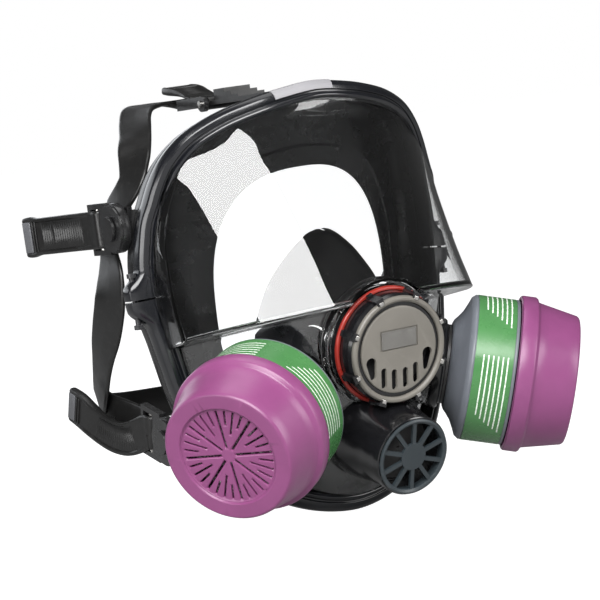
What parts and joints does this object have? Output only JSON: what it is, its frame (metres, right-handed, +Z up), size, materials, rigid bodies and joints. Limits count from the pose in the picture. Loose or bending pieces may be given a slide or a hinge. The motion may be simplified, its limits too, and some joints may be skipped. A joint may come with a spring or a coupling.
{
  "type": "full-face respirator",
  "caption": "Full-face air-purifying respirator: clear visor in a black rim, speech and exhalation units, twin screw-on cartridges, soft face seal and strap harness.",
  "frame": {"origin": "centre of the face seal, on the mirror plane, where the wearer's face meets the skirt", "axes": "+X to the wearer's left, +Y back towards the head, +Z up"},
  "size_m": [0.265, 0.2621, 0.2528],
  "materials": {
    "visor": "clear moulded polycarbonate",
    "frame": "glossy black moulded plastic",
    "silicone": "black moulded silicone, satin",
    "harness": "black rubber strap",
    "housing": "black moulded plastic",
    "red_seal": "red silicone ring",
    "speech_cover": "warm grey moulded plastic",
    "badge": "blank raised badge",
    "membrane": "thin speech diaphragm film",
    "guard": "dark blue-grey moulded plastic",
    "valve": "thin rubber valve disc",
    "canister": "grey moulded canister",
    "label": "plain green band with blank pale stripes",
    "cap": "magenta moulded plastic",
    "media": "pleated particulate media",
    "sorbent": "bonded carbon bed",
    "buckle": "black moulded buckle",
    "steel": "bright steel roller",
    "tag": "blank pale label"
  },
  "bodies": {
    "facepiece": {"visor": "visor", "upper_rim": "frame", "lower_rim": "frame", "rim_screws": "steel", "rim_nuts": "steel", "face_skirt": "silicone", "nose_cup": "silicone", "speech_housing": "housing", "speech_gasket": "red_seal", "speech_clips": "housing", "speech_retainer": "speech_cover", "speech_cover": "speech_cover", "speech_badge": "badge", "speech_membrane": "membrane", "speech_seat_ring": "housing", "exhalation_housing": "housing", "cup_valve_seats": "housing", "temple_tabs": "silicone", "chin_tabs": "silicone", "buckle_studs": "buckle", "top_link": "silicone", "top_pin": "steel", "crown_harness": "harness", "nape_harness": "harness", "forehead_label": "tag", "left_inlet_port": "housing", "right_inlet_port": "housing"},
    "exhalation_valve": {"exhalation_valve": "valve"},
    "exhalation_guard": {"exhalation_guard": "guard"},
    "top_buckle": {"top_buckle": "buckle", "top_roller": "steel", "top_strap": "harness"},
    "left_gasket": {"left_port_gasket": "valve"},
    "left_cartridge": {"left_cartridge_body": "canister", "left_cartridge_label": "label", "left_sorbent_bed": "sorbent", "left_filter_media": "media", "left_filter_cap": "cap"},
    "left_inhalation_valve": {"left_inhalation_valve": "valve"},
    "left_cup_valve": {"left_cup_valve": "valve"},
    "left_temple_buckle": {"left_temple_buckle": "buckle", "left_temple_roller": "steel", "left_temple_strap": "harness"},
    "left_chin_buckle": {"left_chin_buckle": "buckle", "left_chin_roller": "steel", "left_chin_strap": "harness"},
    "right_gasket": {"right_port_gasket": "valve"},
    "right_cartridge": {"right_cartridge_body": "canister", "right_cartridge_label": "label", "right_sorbent_bed": "sorbent", "right_filter_media": "media", "right_filter_cap": "cap"},
    "right_inhalation_valve": {"right_inhalation_valve": "valve"},
    "right_cup_valve": {"right_cup_valve": "valve"},
    "right_temple_buckle": {"right_temple_buckle": "buckle", "right_temple_roller": "steel", "right_temple_strap": "harness"},
    "right_chin_buckle": {"right_chin_buckle": "buckle", "right_chin_roller": "steel", "right_chin_strap": "harness"}
  },
  "joints": [
    {"name": "left_cartridge_travel", "type": "slide", "parent": "facepiece", "child": "left_gasket", "axis": [0.8183, -0.5054, -0.274], "range_m": [0, 0.009]},
    {"name": "left_cartridge_turn", "type": "hinge", "parent": "left_gasket", "child": "left_cartridge", "pos_m": [0.0547, -0.0582, -0.0522], "axis": [0.8183, -0.5054, -0.274], "range_deg": [0, 540]},
    {"name": "left_inhalation_lift", "type": "slide", "parent": "facepiece", "child": "left_inhalation_valve", "axis": [-0.8183, 0.5054, 0.274], "range_m": [0, 0.0015], "stiffness_N_per_m": 20},
    {"name": "left_cup_valve_lift", "type": "slide", "parent": "facepiece", "child": "left_cup_valve", "axis": [-0.7828, 0.6222, 0], "range_m": [0, 0.0015], "stiffness_N_per_m": 20},
    {"name": "left_temple_swivel", "type": "hinge", "parent": "facepiece", "child": "left_temple_buckle", "pos_m": [0.0985, 0.017, 0.051], "axis": [1, 0, 0], "range_deg": [-10, 10]},
    {"name": "left_chin_swivel", "type": "hinge", "parent": "facepiece", "child": "left_chin_buckle", "pos_m": [0.0855, 0.018, -0.072], "axis": [1, 0, 0], "range_deg": [-8, 8]},
    {"name": "right_cartridge_travel", "type": "slide", "parent": "facepiece", "child": "right_gasket", "axis": [-0.8183, -0.5054, -0.274], "range_m": [0, 0.009]},
    {"name": "right_cartridge_turn", "type": "hinge", "parent": "right_gasket", "child": "right_cartridge", "pos_m": [-0.0547, -0.0582, -0.0522], "axis": [-0.8183, -0.5054, -0.274], "range_deg": [0, 540]},
    {"name": "right_inhalation_lift", "type": "slide", "parent": "facepiece", "child": "right_inhalation_valve", "axis": [0.8183, 0.5054, 0.274], "range_m": [0, 0.0015], "stiffness_N_per_m": 20},
    {"name": "right_cup_valve_lift", "type": "slide", "parent": "facepiece", "child": "right_cup_valve", "axis": [0.7828, 0.6222, 0], "range_m": [0, 0.0015], "stiffness_N_per_m": 20},
    {"name": "right_temple_swivel", "type": "hinge", "parent": "facepiece", "child": "right_temple_buckle", "pos_m": [-0.0985, 0.017, 0.051], "axis": [1, 0, 0], "range_deg": [-10, 10]},
    {"name": "right_chin_swivel", "type": "hinge", "parent": "facepiece", "child": "right_chin_buckle", "pos_m": [-0.0855, 0.018, -0.072], "axis": [1, 0, 0], "range_deg": [-8, 8]},
    {"name": "top_buckle_tilt", "type": "hinge", "parent": "facepiece", "child": "top_buckle", "pos_m": [0, 0.058, 0.113], "axis": [1, 0, 0], "range_deg": [-2, 20]},
    {"name": "exhalation_lift", "type": "slide", "parent": "facepiece", "child": "exhalation_valve", "axis": [0, -0.9444, -0.3289], "range_m": [0, 0.0015], "stiffness_N_per_m": 20},
    {"name": "guard_lift_off", "type": "slide", "parent": "facepiece", "child": "exhalation_guard", "axis": [0, -0.9444, -0.3289], "range_m": [0, 0.015]}
  ],
  "couplings": [
    {"joint": "left_cartridge_travel", "follows": "left_cartridge_turn", "m_per_rad": 0.000954},
    {"joint": "right_cartridge_travel", "follows": "right_cartridge_turn", "m_per_rad": 0.000954}
  ]
}
